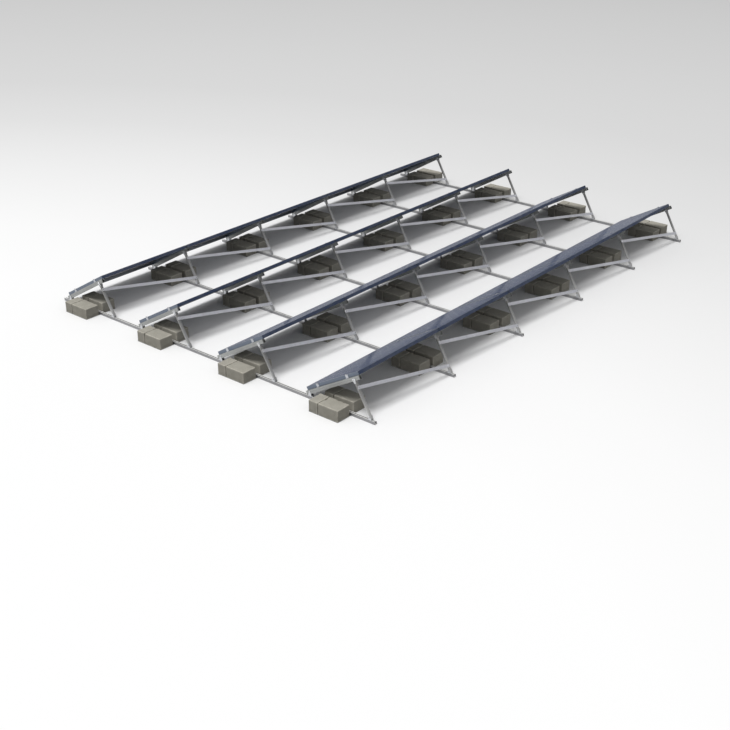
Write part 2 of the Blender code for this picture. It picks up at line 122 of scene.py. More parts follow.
# Heights above the ground
BASE_BOTTOM = TRAY_THICKNESS + SEAT_GAP
BASE_TOP = BASE_BOTTOM + BASE_HEIGHT
SADDLE_BOTTOM = BASE_TOP + SEAT_GAP
SADDLE_TOP = SADDLE_BOTTOM + SADDLE_PLATE
RAIL_DIP = PIVOT_INSET * math.sin(TILT) + 0.5 * RAIL_HEIGHT * math.cos(TILT)
PIVOT_HEIGHT = SADDLE_TOP + LOW_CORNER_GAP + RAIL_DIP
LEG_REACH = RAIL_LENGTH - PIVOT_INSET - LEG_INSET
LEG_LINE = (PIVOT_HEIGHT - BASE_TOP + LEG_REACH * math.sin(TILT)) / math.cos(TILT)
LEG_RUN = LEG_LINE - 0.5 * RAIL_HEIGHT
FOOT_TO_PIVOT = LEG_REACH * math.cos(TILT) + LEG_LINE * math.sin(TILT)

# Module heights and edges in the slope's own axes
MODULE_BOTTOM = 0.5 * RAIL_HEIGHT + SEAT_GAP
MODULE_TOP = MODULE_BOTTOM + MODULE_DEPTH
LOW_EDGE = PIVOT_INSET - RAIL_REACH_LOW
HIGH_EDGE = LOW_EDGE - MODULE_WIDTH
GLASS_TOP = MODULE_TOP - LAMINATE_RECESS
GLASS_BACK = GLASS_TOP - LAMINATE_THICKNESS
CLAMP_PLACES = (LOW_EDGE - CLAMP_LOW_EDGE, HIGH_EDGE + CLAMP_HIGH_EDGE)

# Directions: across the rows, up the slope, square to the slope
ACROSS = Vector((1.0, 0.0, 0.0))
ALONG_Y = Vector((0.0, 1.0, 0.0))
UPRIGHT = Vector((0.0, 0.0, 1.0))
UP_SLOPE = Vector((0.0, -math.cos(TILT), math.sin(TILT)))
SQUARE = Vector((0.0, math.sin(TILT), math.cos(TILT)))
SLOPE_TURN = Matrix.Rotation(-TILT, 4, "X")
SIDES = (-1.0, 1.0)

# Camera, at the photograph's viewing angle
CAMERA_X, CAMERA_BEFORE_FEET, CAMERA_HEIGHT = -13.848, 7.882, 6.984
CAMERA_AIM = (0.6907, 0.5708, -0.4440)
CAMERA_LENS, CAMERA_SENSOR, CAMERA_REACH = 57.07, 36.0, 500.0

# Studio: key lamp, dome, and a floor with a painted pool of light, whitest about one place and greyer far off
SUN_FROM = (-0.33, 0.0, 0.85)
SUN_STRENGTH = 2.1
SUN_SOFTNESS = math.radians(28.0)
WORLD_STRENGTH = 0.45
FLOOR_RADIUS, FLOOR_SIDES = 140.0, 96
FLOOR_MIDDLE = (-16.0, 0.0)
FLOOR_FADE_END = 48.0
FLOOR_STOPS = ((0.0, 0.935), (0.26, 0.93), (0.31, 0.90), (0.375, 0.82),
               (0.46, 0.71), (0.54, 0.65), (0.71, 0.60), (1.0, 0.53))
FLOOR_BOUNCE = (0.22, 0.22, 0.22)


# ---------------------------------------------------------------- places

def line_place(line):
    """X of a rail line."""
    low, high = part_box(f"base_rail_{line + 1}")
    return 0.5 * (low.x + high.x)


def foot_place(row):
    """Y of a row's leg feet."""
    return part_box(f"ballast_r{row + 1}_1")[0].y + TRAY_MARGIN - BALLAST_SETBACK


def pivot_place(row):
    """Low pivot of a row's first line."""
    return Vector((line_place(0), foot_place(row) + FOOT_TO_PIVOT, PIVOT_HEIGHT))


def on_leg(distance):
    """Point on a leg's centre line, this far square below the pivot's level."""
    return UP_SLOPE * LEG_REACH - SQUARE * distance


def row_matrix(row):
    """Moves a piece to a row's first low pivot."""
    return Matrix.Translation(pivot_place(row))


def slope_matrix(row):
    """Places the slope's own axes (X across, Y down, Z square) on a row's first low pivot."""
    return row_matrix(row) @ SLOPE_TURN


FOOT_PIVOT = on_leg(LEG_LINE - (LEG_FOOT_PIVOT + SADDLE_PLATE) / math.cos(TILT))


# ---------------------------------------------------------------- mesh work

def axes_matrix(origin, x_axis, y_axis):
    """Matrix whose X and Y axes lie along the two directions."""
    turn = Matrix((x_axis, y_axis, x_axis.cross(y_axis))).transposed().to_4x4()
    return Matrix.Translation(origin) @ turn


def mirrored(half):
    """Close a right-hand half outline with its mirror image in X."""
    return half + [(-x, y) for x, y in reversed(half)]


def rounded(outline, radius, steps=3):
    """Outline with each corner turned into an arc of at most this radius."""
    points = [Vector(point) for point in outline]
    count = len(points)
    result = []
    for index, corner in enumerate(points):
        back = points[index - 1] - corner
        ahead = points[(index + 1) % count] - corner
        reach = min(radius / math.tan(0.5 * back.angle(ahead)), ARC_SHARE * back.length, ARC_SHARE * ahead.length)
        start = corner + back.normalized() * reach
        end = corner + ahead.normalized() * reach
        for step in range(steps + 1):
            share = step / steps
            along = start.lerp(corner, share).lerp(corner.lerp(end, share), share)
            result.append((along.x, along.y))
    return result


def in_scene(name, data):
    """New object in the scene."""
    thing = bpy.data.objects.new(name, data)
    bpy.context.scene.collection.objects.link(thing)
    return thing


def plain_mesh(shape, name):
    """Mesh of a bmesh with its faces turned out."""
    bmesh.ops.recalc_face_normals(shape, faces=shape.faces)
    mesh = bpy.data.meshes.new(name)
    shape.to_mesh(mesh)
    shape.free()
    return mesh


def finished(shape, name):
    """Mesh of a bmesh with doubles merged and faces turned out."""
    bmesh.ops.remove_doubles(shape, verts=shape.verts, dist=MERGE_DISTANCE)
    return plain_mesh(shape, name)


def add_bar(shape, loops, length, matrix):
    """Extrude section loops, the later ones being holes, along the matrix's Z about its origin."""
    uv = shape.loops.layers.uv.get("lengthwise") or shape.loops.layers.uv.new("lengthwise")
    rims = ([], [])
    for loop in loops:
        rings = [[shape.verts.new(matrix @ Vector((x, y, z))) for x, y in loop]
                 for z in (-0.5 * length, 0.5 * length)]
        girth = 0.0
        for index in range(len(loop)):
            after = (index + 1) % len(loop)
            width = (Vector(loop[after]) - Vector(loop[index])).length
            face = shape.faces.new((rings[0][index], rings[0][after], rings[1][after], rings[1][index]))
            face.smooth = True
            for corner, place in zip(face.loops, ((girth, 0.0), (girth + width, 0.0),
                                                  (girth + width, length), (girth, length))):
                corner[uv].uv = place
            girth += width
            for ring, rim in zip(rings, rims):
                rim.append(shape.edges.get((ring[index], ring[after])))
    inverse = matrix.inverted()
    for rim in rims:
        filled = bmesh.ops.triangle_fill(shape, use_beauty=True, use_dissolve=False, edges=rim)
        for cap in filled["geom"]:
            if isinstance(cap, bmesh.types.BMFace):
                cap.smooth = False
                for corner in cap.loops:
                    corner[uv].uv = (inverse @ corner.vert.co).xy
    for rim in rims:
        for edge in rim:
            edge.smooth = False


def bar_mesh(name, bars):
    """Mesh of several extruded bars, each given as (loops, length, matrix)."""
    shape = bmesh.new()
    for loops, length, matrix in bars:
        add_bar(shape, loops, length, matrix)
    return finished(shape, name)


def box_outline(half_width, half_height):
    """Rectangle about the origin."""
    return [(-half_width, -half_height), (half_width, -half_height),
            (half_width, half_height), (-half_width, half_height)]


def joined(name, meshes):
    """One mesh of several that share their materials."""
    shape = bmesh.new()
    for mesh in meshes:
        shape.from_mesh(mesh)
    result = bpy.data.meshes.new(name)
    shape.to_mesh(result)
    shape.free()
    for material in meshes[0].materials:
        result.materials.append(material)
    return result


# ---------------------------------------------------------------- nodes

def new_group(kind, name, inputs, outputs):
    """Node group with named inputs and outputs; returns it, its input sockets and its output node."""
    tree = bpy.data.node_groups.new(name, kind)
    for label, socket_kind, value in inputs:
        socket = tree.interface.new_socket(label, in_out="INPUT", socket_type="NodeSocket" + socket_kind)
        if value is not None:
            socket.default_value = value
    for label, socket_kind in outputs:
        tree.interface.new_socket(label, in_out="OUTPUT", socket_type="NodeSocket" + socket_kind)
    return tree, tree.nodes.new("NodeGroupInput").outputs, tree.nodes.new("NodeGroupOutput")


def put(tree, kind, inputs=None, **settings):
    """Add a node, set its properties, and wire or set its inputs by name or number."""
    node = tree.nodes.new(kind)
    for key, value in settings.items():
        setattr(node, key, value)
    for key, value in (inputs or {}).items():
        if isinstance(value, bpy.types.NodeSocket):
            tree.links.new(value, node.inputs[key])
        else:
            node.inputs[key].default_value = value
    return node


def maths(tree, operation, first, second=0.0):
    """Result of one operation on numbers."""
    return put(tree, "ShaderNodeMath", {0: first, 1: second}, operation=operation).outputs[0]


def vector(tree, sides):
    """Vector put together from the sides that are given."""
    return put(tree, "ShaderNodeCombineXYZ", sides).outputs[0]


# ---------------------------------------------------------------- Geometry Nodes

def new_tree(name, inputs):
    """Geometry tree with named inputs."""
    return new_group("GeometryNodeTree", name, [("Geometry", "Geometry", None), *inputs], [("Geometry", "Geometry")])


def copied(tree, points, piece, **more):
    """Copies of a piece on points."""
    return put(tree, "GeometryNodeInstanceOnPoints", {"Points": points, "Instance": piece, **more}).outputs[0]


def together(tree, *parts):
    """Several meshes as one."""
    node = tree.nodes.new("GeometryNodeJoinGeometry")
    for part in parts:
        tree.links.new(part, node.inputs[0])
    return node.outputs[0]


def closed(tree, copies, finish, result):
    """End a tree with plain geometry in its finish."""
    solid = put(tree, "GeometryNodeRealizeInstances", {0: copies})
    dressed = put(tree, "GeometryNodeSetMaterial", {"Geometry": solid.outputs[0], "Material": finish})
    tree.links.new(dressed.outputs[0], result.inputs[0])
    return tree


def run_tree(tree, name, mesh, values):
    """Plain mesh that a geometry tree makes from a mesh and named input values."""
    carrier = in_scene(name, mesh)
    modifier = carrier.modifiers.new(tree.name, "NODES")
    modifier.node_group = tree
    identifiers = {item.name: item.identifier for item in tree.interface.items_tree
                   if item.item_type == "SOCKET" and item.in_out == "INPUT"}
    for label, value in values.items():
        modifier[identifiers[label]] = value
    bpy.context.view_layer.update()
    depsgraph = bpy.context.evaluated_depsgraph_get()
    made = bpy.data.meshes.new_from_object(carrier.evaluated_get(depsgraph))
    bpy.data.objects.remove(carrier, do_unlink=True)
    made.name = name
    return made


def row_tree():
    """Repeats a piece along its row: one copy for each line or bay."""
    tree, take, result = new_tree("repeat_along_row", [
        ("Count", "Int", LINE_COUNT), ("Pitch", "Float", BAY), ("Finish", "Material", None)])
    line = put(tree, "GeometryNodeMeshLine", {"Count": take["Count"], "Offset": vector(tree, {"X": take["Pitch"]})})
    return closed(tree, copied(tree, line.outputs[0], take["Geometry"]), take["Finish"], result)


def plate_tree():
    """Lays thin plates with cut corners in a grid on every module of a row."""
    tree, take, result = new_tree("plates_on_modules", [
        ("Columns", "Int", CELL_COLUMNS), ("Rows", "Int", CELL_ROWS),
        ("Column Pitch", "Float", CELL_PITCH), ("Row Pitch", "Float", CELL_PITCH),
        ("Plate Length", "Float", CELL_SIDE), ("Plate Width", "Float", CELL_SIDE),
        ("Corner Cut", "Float", CELL_CORNER), ("Thickness", "Float", CELL_RAISE),
        ("Modules", "Int", LINE_COUNT - 1), ("Module Pitch", "Float", BAY), ("Finish", "Material", None)])
    outline = put(tree, "GeometryNodeCurvePrimitiveQuadrilateral",
                  {"Width": take["Plate Length"], "Height": take["Plate Width"]})
    cut = put(tree, "GeometryNodeFilletCurve",
              {"Curve": outline.outputs[0], "Count": 1, "Radius": take["Corner Cut"]}, mode="POLY")
    face = put(tree, "GeometryNodeFillCurve", {"Curve": cut.outputs[0]}, mode="NGONS")
    raised = put(tree, "GeometryNodeExtrudeMesh",
                 {"Mesh": face.outputs[0], "Offset Scale": take["Thickness"], "Individual": False})
    under = put(tree, "GeometryNodeFlipFaces", {0: face.outputs[0]})
    both = together(tree, raised.outputs[0], under.outputs[0])
    plate = put(tree, "GeometryNodeMergeByDistance", {0: both, "Distance": MERGE_DISTANCE})

    def line_of(count, pitch, axis):
        """Evenly spaced points about the middle."""
        length = maths(tree, "MULTIPLY", maths(tree, "SUBTRACT", take[count], 1.0), take[pitch])
        start = vector(tree, {axis: maths(tree, "MULTIPLY", length, -0.5)})
        step = vector(tree, {axis: take[pitch]})
        return put(tree, "GeometryNodeMeshLine",
                   {"Count": take[count], "Start Location": start, "Offset": step}).outputs[0]

    string = copied(tree, line_of("Columns", "Column Pitch", "X"), plate.outputs[0])
    field = copied(tree, line_of("Rows", "Row Pitch", "Y"), string)
    modules = put(tree, "GeometryNodeMeshLine",
                  {"Count": take["Modules"], "Offset": vector(tree, {"X": take["Module Pitch"]})})
    return closed(tree, copied(tree, modules.outputs[0], field), take["Finish"], result)


def bolt_tree():
    """Sets a washer, a crowned hexagon and a thread end on each point, along its axis attribute."""
    tree, take, result = new_tree("hexagon_bolts", [
        ("Across Corners", "Float", 0.015), ("Head Height", "Float", 0.0053),
        ("Washer Diameter", "Float", 0.018), ("Washer Thickness", "Float", 0.0016),
        ("Thread Diameter", "Float", 0.008), ("Thread Length", "Float", 0.003),
        ("Seed", "Int", BOLT_SEED), ("Finish", "Material", None)])

    def half(label):
        """Half of an input."""
        return maths(tree, "MULTIPLY", take[label], 0.5)

    def disc(sides, diameter, depth):
        """Round or hexagon disc about its middle."""
        return put(tree, "GeometryNodeMeshCylinder", {
            "Vertices": sides, "Radius": half(diameter), "Depth": take[depth]}).outputs[0]

    def lifted(mesh, first, *heights):
        """Mesh moved up by the sum of the heights."""
        total = first
        for height in heights:
            total = maths(tree, "ADD", total, height)
        return put(tree, "GeometryNodeTransform",
                   {"Geometry": mesh, "Translation": vector(tree, {"Z": total})}).outputs[0]

    washer = disc(WASHER_SIDES, "Washer Diameter", "Washer Thickness")
    head = disc(HEAD_SIDES, "Across Corners", "Head Height")
    crown = put(tree, "GeometryNodeMeshCone", {
        "Vertices": HEAD_SIDES, "Radius Bottom": half("Across Corners"),
        "Radius Top": maths(tree, "MULTIPLY", half("Across Corners"), CROWN_TOP_SHARE),
        "Depth": maths(tree, "MULTIPLY", take["Head Height"], CROWN_HEIGHT_SHARE)})
    thread = disc(THREAD_SIDES, "Thread Diameter", "Thread Length")
    under_head = take["Washer Thickness"]
    stack = together(tree, lifted(washer, half("Washer Thickness")),
                     lifted(head, under_head, half("Head Height")),
                     lifted(crown.outputs[0], under_head, take["Head Height"]),
                     lifted(thread, under_head, take["Head Height"], half("Thread Length")))
    axis = put(tree, "GeometryNodeInputNamedAttribute", {"Name": "axis"}, data_type="FLOAT_VECTOR")
    aligned = put(tree, "FunctionNodeAlignRotationToVector", {"Vector": axis.outputs[0]}, axis="Z")
    turn = put(tree, "FunctionNodeRandomValue", {"Max": math.pi, "Seed": take["Seed"]}, data_type="FLOAT")
    spin = put(tree, "FunctionNodeAxisAngleToRotation", {"Axis": (0.0, 0.0, 1.0)})
    tree.links.new(next(s for s in turn.outputs if s.enabled), spin.inputs["Angle"])
    turned = put(tree, "FunctionNodeRotateRotation",
                 {0: aligned.outputs[0], 1: spin.outputs[0]}, rotation_space="LOCAL")
    set_bolts = copied(tree, take["Geometry"], stack, Rotation=turned.outputs[0])
    return closed(tree, set_bolts, take["Finish"], result)


# ---------------------------------------------------------------- effects shared by materials

def new_effect(name, inputs, outputs):
    """Shader group whose inputs start with its coordinates and whose outputs are numbers."""
    return new_group("ShaderNodeTree", name, [("Coordinates", "Vector", None), *inputs],
                     [(label, "Float") for label in outputs])


def ranged(tree, value, low, high, new_low=0.0, new_high=1.0):
    """Clamped map of a value from one range to another."""
    return put(tree, "ShaderNodeMapRange", {
        "Value": value, "From Min": low, "From Max": high, "To Min": new_low, "To Max": new_high}).outputs[0]


def mixed(tree, share, first, second):
    """Colour between two colours by a share."""
    node = put(tree, "ShaderNodeMix", data_type="RGBA")
    for socket, value in ((node.inputs[0], share), (node.inputs[6], first), (node.inputs[7], second)):
        if isinstance(value, bpy.types.NodeSocket):
            tree.links.new(value, socket)
        else:
            socket.default_value = (*value, 1.0) if isinstance(value, tuple) else value
    return node.outputs[2]


def graded(tree, value, low, high, first, second):
    """Colour that goes from the first to the second as a value goes from low to high."""
    return mixed(tree, ranged(tree, value, low, high), first, second)


def clouds(tree, place, scale, detail=2.0, roughness=0.5):
    """Cloudy noise."""
    return put(tree, "ShaderNodeTexNoise", {
        "Vector": place, "Scale": scale, "Detail": detail, "Roughness": roughness}).outputs[0]


def sides_of(tree, place):
    """X, Y and Z of a vector."""
    return put(tree, "ShaderNodeSeparateXYZ", {0: place}).outputs


def facing(tree):
    """X, Y and Z of the way that a face looks."""
    return sides_of(tree, tree.nodes.new("ShaderNodeNewGeometry").outputs["Normal"])


def draw_marks_effect():
    """Fine lines and faint bands left along an extruded section."""
    tree, take, result = new_effect(
        "draw_marks", [("Line Scale", "Float", 900.0), ("Stretch", "Float", 0.004)], ["Lines", "Bands"])
    squeeze = vector(tree, {"X": 1.0, "Y": take["Stretch"], "Z": 1.0})
    along = put(tree, "ShaderNodeVectorMath", {0: take["Coordinates"], 1: squeeze}, operation="MULTIPLY").outputs[0]
    tree.links.new(clouds(tree, along, take["Line Scale"], 3.0, 0.6), result.inputs["Lines"])
    tree.links.new(ranged(tree, clouds(tree, along, 120.0), 0.35, 0.65), result.inputs["Bands"])
    return tree


def settled_dust_effect():
    """Dust that gathers in patches on faces that look up."""
    tree, take, result = new_effect(
        "settled_dust", [("Patch Scale", "Float", 6.0), ("Amount", "Float", 0.5)], ["Mask"])
    spots = ranged(tree, clouds(tree, take["Coordinates"], take["Patch Scale"], 6.0, 0.65), 0.38, 0.72)
    upward = ranged(tree, facing(tree)["Z"], 0.2, 0.9, 0.25, 1.0)
    mask = maths(tree, "MULTIPLY", maths(tree, "MULTIPLY", spots, upward), take["Amount"])
    tree.links.new(mask, result.inputs["Mask"])
    return tree


def cast_grain_effect():
    """Sand, aggregate and pores of cast concrete."""
    tree, take, result = new_effect(
        "cast_grain", [("Grain Scale", "Float", 420.0), ("Pore Scale", "Float", 95.0)],
        ["Clouds", "Sand", "Pores", "Height"])
    place = take["Coordinates"]
    sand = clouds(tree, place, take["Grain Scale"], 3.0, 0.7)
    cells = put(tree, "ShaderNodeTexVoronoi", {"Vector": place, "Scale": take["Pore Scale"]})
    round_holes = ranged(tree, cells.outputs["Distance"], 0.12, 0.28, 1.0, 0.0)
    few = ranged(tree, clouds(tree, place, 30.0), 0.50, 0.60)
    pores = maths(tree, "MULTIPLY", round_holes, few)
    height = maths(tree, "ADD", maths(tree, "MULTIPLY", pores, -1.2), sand)
    for label, socket in (("Clouds", clouds(tree, place, 9.0, 6.0, 0.62)), ("Sand", sand),
                          ("Pores", pores), ("Height", height)):
        tree.links.new(socket, result.inputs[label])
    return tree


# ---------------------------------------------------------------- materials

def new_material(name, **constants):
    """Material with numbers set on its Principled shader's own sockets, its tree and its Object coordinates."""
    material = bpy.data.materials.new(name)
    material.use_nodes = True
    tree = material.node_tree
    for label, value in constants.items():
        tree.nodes["Principled BSDF"].inputs[label.replace("_", " ")].default_value = value
    return material, tree, tree.nodes.new("ShaderNodeTexCoord").outputs["Object"]


def fed(material, **sockets):
    """Wire results to the shader's sockets and return the material."""
    tree = material.node_tree
    shader = tree.nodes["Principled BSDF"]
    for label, socket in sockets.items():
        tree.links.new(socket, shader.inputs[label.replace("_", " ")])
    return material


def effect(tree, group, inputs):
    """Place a shared effect in a material."""
    return put(tree, "ShaderNodeGroup", inputs, node_tree=group).outputs


def drawn(tree, line_scale=900.0):
    """Draw marks, on coordinates that run round a section and along it."""
    along = put(tree, "ShaderNodeUVMap", uv_map="lengthwise").outputs[0]
    return effect(tree, DRAW_MARKS, {"Coordinates": along, "Line Scale": line_scale})


def dusted(tree, place, patch_scale, amount, base, dust):
    """Colour with dust settled on it, and the dust's mask."""
    mask = effect(tree, SETTLED_DUST, {"Coordinates": place, "Patch Scale": patch_scale, "Amount": amount})["Mask"]
    return mixed(tree, mask, base, dust), mask


def bumped(tree, height, strength, distance):
    """Normal raised and sunk by a height."""
    return put(tree, "ShaderNodeBump", {"Height": height, "Strength": strength, "Distance": distance}).outputs[0]


def toned(colour, share):
    """Colour made darker or lighter by a share."""
    return tuple(share * value for value in colour)


def aluminium(name, bright, dull, roughness=(0.34, 0.50), dust=0.30, painted_top_light=None, painted_head_shade=0.0):
    """Extruded aluminium with draw marks, weathered bands and a little dust; tops may take a painted highlight and
    heads a painted shade.
    """
    material, tree, place = new_material(name, Metallic=1.0)
    marks = drawn(tree)
    weather = clouds(tree, place, 3.5, 5.0, 0.6)
    worn = graded(tree, weather, 0.35, 0.68, bright, dull)
    base = mixed(tree, ranged(tree, marks["Bands"], 0.0, 1.0, 0.0, 0.35), worn, toned(dull, 0.86))
    # Painted shade: the colour darkens higher up, towards the heads under the modules.
    if painted_head_shade:
        head_shade_share = ranged(tree, sides_of(tree, place)["Z"], 0.14, 0.40, 0.0, painted_head_shade)
        base = mixed(tree, head_shade_share, base, toned(dull, 0.30))
    base, settled = dusted(tree, place, 11.0, dust, base, (0.42, 0.40, 0.37))
    # Painted highlight: up-facing faces turn pale and less metallic, as where light falls on them.
    if painted_top_light:
        upward = facing(tree)["Z"]
        lit_top_tone = graded(tree, weather, 0.40, 0.70, painted_top_light, toned(painted_top_light, 0.85))
        base = graded(tree, upward, 0.5, 0.8, base, lit_top_tone)
        fed(material, Metallic=ranged(tree, upward, 0.5, 0.8, 1.0, 0.20))
    gloss = ranged(tree, marks["Lines"], 0.3, 0.7, *roughness)
    return fed(material, Base_Color=base, Normal=bumped(tree, marks["Lines"], 0.12, 0.0002),
               Roughness=maths(tree, "ADD", gloss, maths(tree, "MULTIPLY", settled, 0.35)))


def sheet_metal(name, bright, dull, scale, roughness=(0.30, 0.48)):
    """Pressed and zinc-coated plate: broken crystal patches and fine scratches."""
    material, tree, place = new_material(name, Metallic=1.0)
    crystals = put(tree, "ShaderNodeTexVoronoi", {"Vector": place, "Scale": scale})
    patch = put(tree, "ShaderNodeSeparateColor", {0: crystals.outputs["Color"]}).outputs[0]
    tone = maths(tree, "MULTIPLY", patch, clouds(tree, place, 14.0, 5.0))
    base = graded(tree, tone, 0.05, 0.55, bright, dull)
    return fed(material, Base_Color=dusted(tree, place, 18.0, 0.35, base, (0.40, 0.38, 0.35))[0],
               Roughness=ranged(tree, tone, 0.1, 0.6, *roughness),
               Normal=bumped(tree, clouds(tree, place, 260.0, 4.0), 0.10, 0.0003))


def concrete(name, pale, mid, deep):
    """Cast concrete with clouds, sand, pores, damp feet and rubbed edges."""
    material, tree, place = new_material(name, Specular_IOR_Level=0.25)
    grain = effect(tree, CAST_GRAIN, {"Coordinates": place})
    base = graded(tree, grain["Clouds"], 0.34, 0.66, mid, pale)
    base = mixed(tree, ranged(tree, grain["Sand"], 0.30, 0.62, 0.45, 0.0), base, deep)
    block_tone = put(tree, "ShaderNodeAttribute", attribute_name="block_tone").outputs["Fac"]
    base = mixed(tree, ranged(tree, block_tone, 0.0, 1.0, 0.0, 0.30), base, mid)
    base = mixed(tree, ranged(tree, grain["Pores"], 0.0, 1.0, 0.0, 0.65), base, toned(deep, 0.35))
    creep = clouds(tree, place, 16.0, 4.0)
    line = maths(tree, "ADD", ranged(tree, creep, 0.3, 0.7, -0.02, 0.03), sides_of(tree, place)["Z"])
    base = mixed(tree, ranged(tree, line, 0.012, 0.055, 0.38, 0.0), base, deep)
    worn = put(tree, "ShaderNodeAttribute", attribute_name="edge_wear").outputs["Fac"]
    rub = maths(tree, "MULTIPLY", worn, ranged(tree, creep, 0.35, 0.60))
    base = mixed(tree, ranged(tree, rub, 0.0, 1.0, 0.0, 0.7), base, toned(pale, 1.22))
    return fed(material, Base_Color=base, Roughness=ranged(tree, grain["Clouds"], 0.3, 0.7, 0.96, 0.84),
               Normal=bumped(tree, grain["Height"], 0.55, 0.0012))


def anodised(name, bright, dull, rear, ends, under):
    """Dark anodised module frame, slightly rubbed, dusty in patches; rear, ends and underside carry painted shade and
    light by the way they face.

    The rear is painted dark as shade, the ends and underside painted lighter as light; the low edge's inner wall faces
    backwards too, but it takes the underside's painted light.
    """
    material, tree, place = new_material(name, Metallic=0.75)
    ways = facing(tree)
    marks = drawn(tree, 700.0)
    base = graded(tree, clouds(tree, place, 2.2, 5.0), 0.35, 0.65, bright, dull)
    # Painted shade and light by facing: backward faces take the dark rear tone high up and the pale underside tone low
    # down, end faces a lit tone, downward faces the pale underside tone.
    backward = graded(tree, sides_of(tree, place)["Z"], 0.30, 0.40, under, rear)
    base = graded(tree, ways["Y"], -0.5, -0.8, base, backward)
    base = graded(tree, maths(tree, "ABSOLUTE", ways["X"]), 0.5, 0.8, base, ends)
    base = graded(tree, ways["Z"], -0.6, -0.8, base, under)
    return fed(material, Base_Color=dusted(tree, place, 7.0, 0.30, base, (0.36, 0.36, 0.36))[0],
               Roughness=ranged(tree, marks["Lines"], 0.3, 0.7, 0.32, 0.46),
               Normal=bumped(tree, marks["Lines"], 0.08, 0.0002))


def under_glass(name, first, second, scale, back=(0.50, 0.52, 0.56)):
    """Layer seen through the module's glass, below a glossy coat with rain-washed dust; its back has its own tone."""
    material, tree, place = new_material(
        name, Coat_Weight=0.22, Coat_IOR=1.5, Coat_Roughness=0.08, Specular_IOR_Level=0.10)
    cloud = clouds(tree, place, scale, 4.0, 0.6)
    base = graded(tree, cloud, 0.35, 0.65, first, second)
    washed = put(tree, "ShaderNodeMapping", {"Vector": place, "Rotation": (TILT, 0.0, 0.0), "Scale": (1.0, 0.12, 1.0)})
    base, _ = dusted(tree, washed.outputs[0], 60.0, 0.10, base, (0.27, 0.28, 0.30))
    return fed(material, Base_Color=graded(tree, facing(tree)["Z"], -0.3, -0.6, base, back),
               Roughness=ranged(tree, cloud, 0.3, 0.7, 0.45, 0.60))


def moulded_plastic(name, first, second):
    """Moulded box with a fine texture."""
    material, tree, place = new_material(name)
    grain = clouds(tree, place, 700.0)
    return fed(material, Base_Color=graded(tree, clouds(tree, place, 12.0, 4.0), 0.35, 0.65, first, second),
               Roughness=ranged(tree, grain, 0.3, 0.7, 0.42, 0.60), Normal=bumped(tree, grain, 0.15, 0.0003))


def studio_floor():
    """Pale floor with a painted pool of light, whiter near the array and greyer far off; it sends less light back up
    than it shows.
    """
    material, tree, place = new_material("studio_floor", Roughness=0.9, Specular_IOR_Level=0.0)
    centred = put(tree, "ShaderNodeMapping", {
        "Vector": place, "Location": (-FLOOR_MIDDLE[0], -FLOOR_MIDDLE[1], 0.0)})
    far = put(tree, "ShaderNodeVectorMath", {0: centred.outputs[0]}, operation="LENGTH").outputs["Value"]
    # Painted pool of light: the floor's colour is whitest about FLOOR_MIDDLE and greys off with distance.
    ramp = put(tree, "ShaderNodeValToRGB", {0: ranged(tree, far, 0.0, FLOOR_FADE_END)})
    stops = ramp.color_ramp.elements
    for stop, (position, tone) in ((stops[0], FLOOR_STOPS[0]), (stops[1], FLOOR_STOPS[-1])):
        stop.position, stop.color = position, (tone, tone, tone, 1.0)
    for position, tone in FLOOR_STOPS[1:-1]:
        stops.new(position).color = (tone, tone, tone, 1.0)
    ray = tree.nodes.new("ShaderNodeLightPath").outputs
    seen = maths(tree, "MAXIMUM", ray["Is Camera Ray"], ray["Is Transmission Ray"])
    shown = maths(tree, "MAXIMUM", seen, ray["Is Glossy Ray"])
    return fed(material, Base_Color=mixed(tree, shown, FLOOR_BOUNCE, ramp.outputs[0]))


# ---------------------------------------------------------------- pieces

def show(name, mesh, replaced, material=None):
    """Make a finished piece, ride it on the frame and hide the solids that it stands for."""
    if material is not None:
        mesh.materials.clear()
        mesh.materials.append(material)
    piece = in_scene(name, mesh)
    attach(piece, BODY)
    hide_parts(*replaced)


def row_nodes(kind, row, lines=LINE_COUNT):
    """Names of a row's solids of one kind."""
    return [f"{kind}_r{row + 1}_{line + 1}" for line in range(lines)]


def repeated(kind, unit, count, material):
    """Copies of a piece along its row."""
    return run_tree(ROW_TREE, kind, unit, {"Count": count, "Pitch": BAY, "Finish": material})


def show_on_lines(kind, unit, material, slot="frame", lines=LINE_COUNT):
    """Repeat a piece along each row, one a rail line, and show one piece a row."""
    made = repeated(kind, unit, lines, material)
    for row in range(ROW_COUNT):
        mesh = made.copy()
        mesh.transform(row_matrix(row))
        show(f"{kind}_r{row + 1}", mesh, row_nodes(slot, row, lines))


def show_on_slope(kind, mesh, material=None):
    """Show one piece a row of a mesh made in the slope's own axes."""
    for row in range(ROW_COUNT):
        laid = mesh.copy()
        laid.transform(slope_matrix(row))
        show(f"{kind}_r{row + 1}", laid, [f"module_row_{row + 1}"], material)


def show_in_bays(kind, unit, material):
    """Repeat a piece of one module along each row."""
    show_on_slope(kind, repeated(kind, unit, LINE_COUNT - 1, material))


def base_rails():
    """C section with turned-in lips, one piece a line."""
    half, slot, inner = 0.5 * BASE_WIDTH, 0.5 * BASE_SLOT, 0.5 * BASE_WIDTH - BASE_WALL
    lip_end, lip_side, ceiling = BASE_HEIGHT - BASE_LIP_DROP, slot + BASE_LIP_WALL, BASE_HEIGHT - BASE_TOP_WALL
    section = rounded(mirrored([
        (half, 0.0), (half, BASE_HEIGHT), (slot, BASE_HEIGHT), (slot, lip_end), (lip_side, lip_end),
        (lip_side, ceiling), (inner, ceiling), (inner, BASE_WALL)]), SECTION_RADIUS)
    for line in range(LINE_COUNT):
        name = f"base_rail_{line + 1}"
        low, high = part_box(name)
        middle = Vector((line_place(line), 0.5 * (low.y + high.y), low.z))
        mesh = bar_mesh(name, [([section], high.y - low.y, axes_matrix(middle, ACROSS, UPRIGHT))])
        show(f"base_rail_bar_{line + 1}", mesh, [name], BASE_ALUMINIUM)


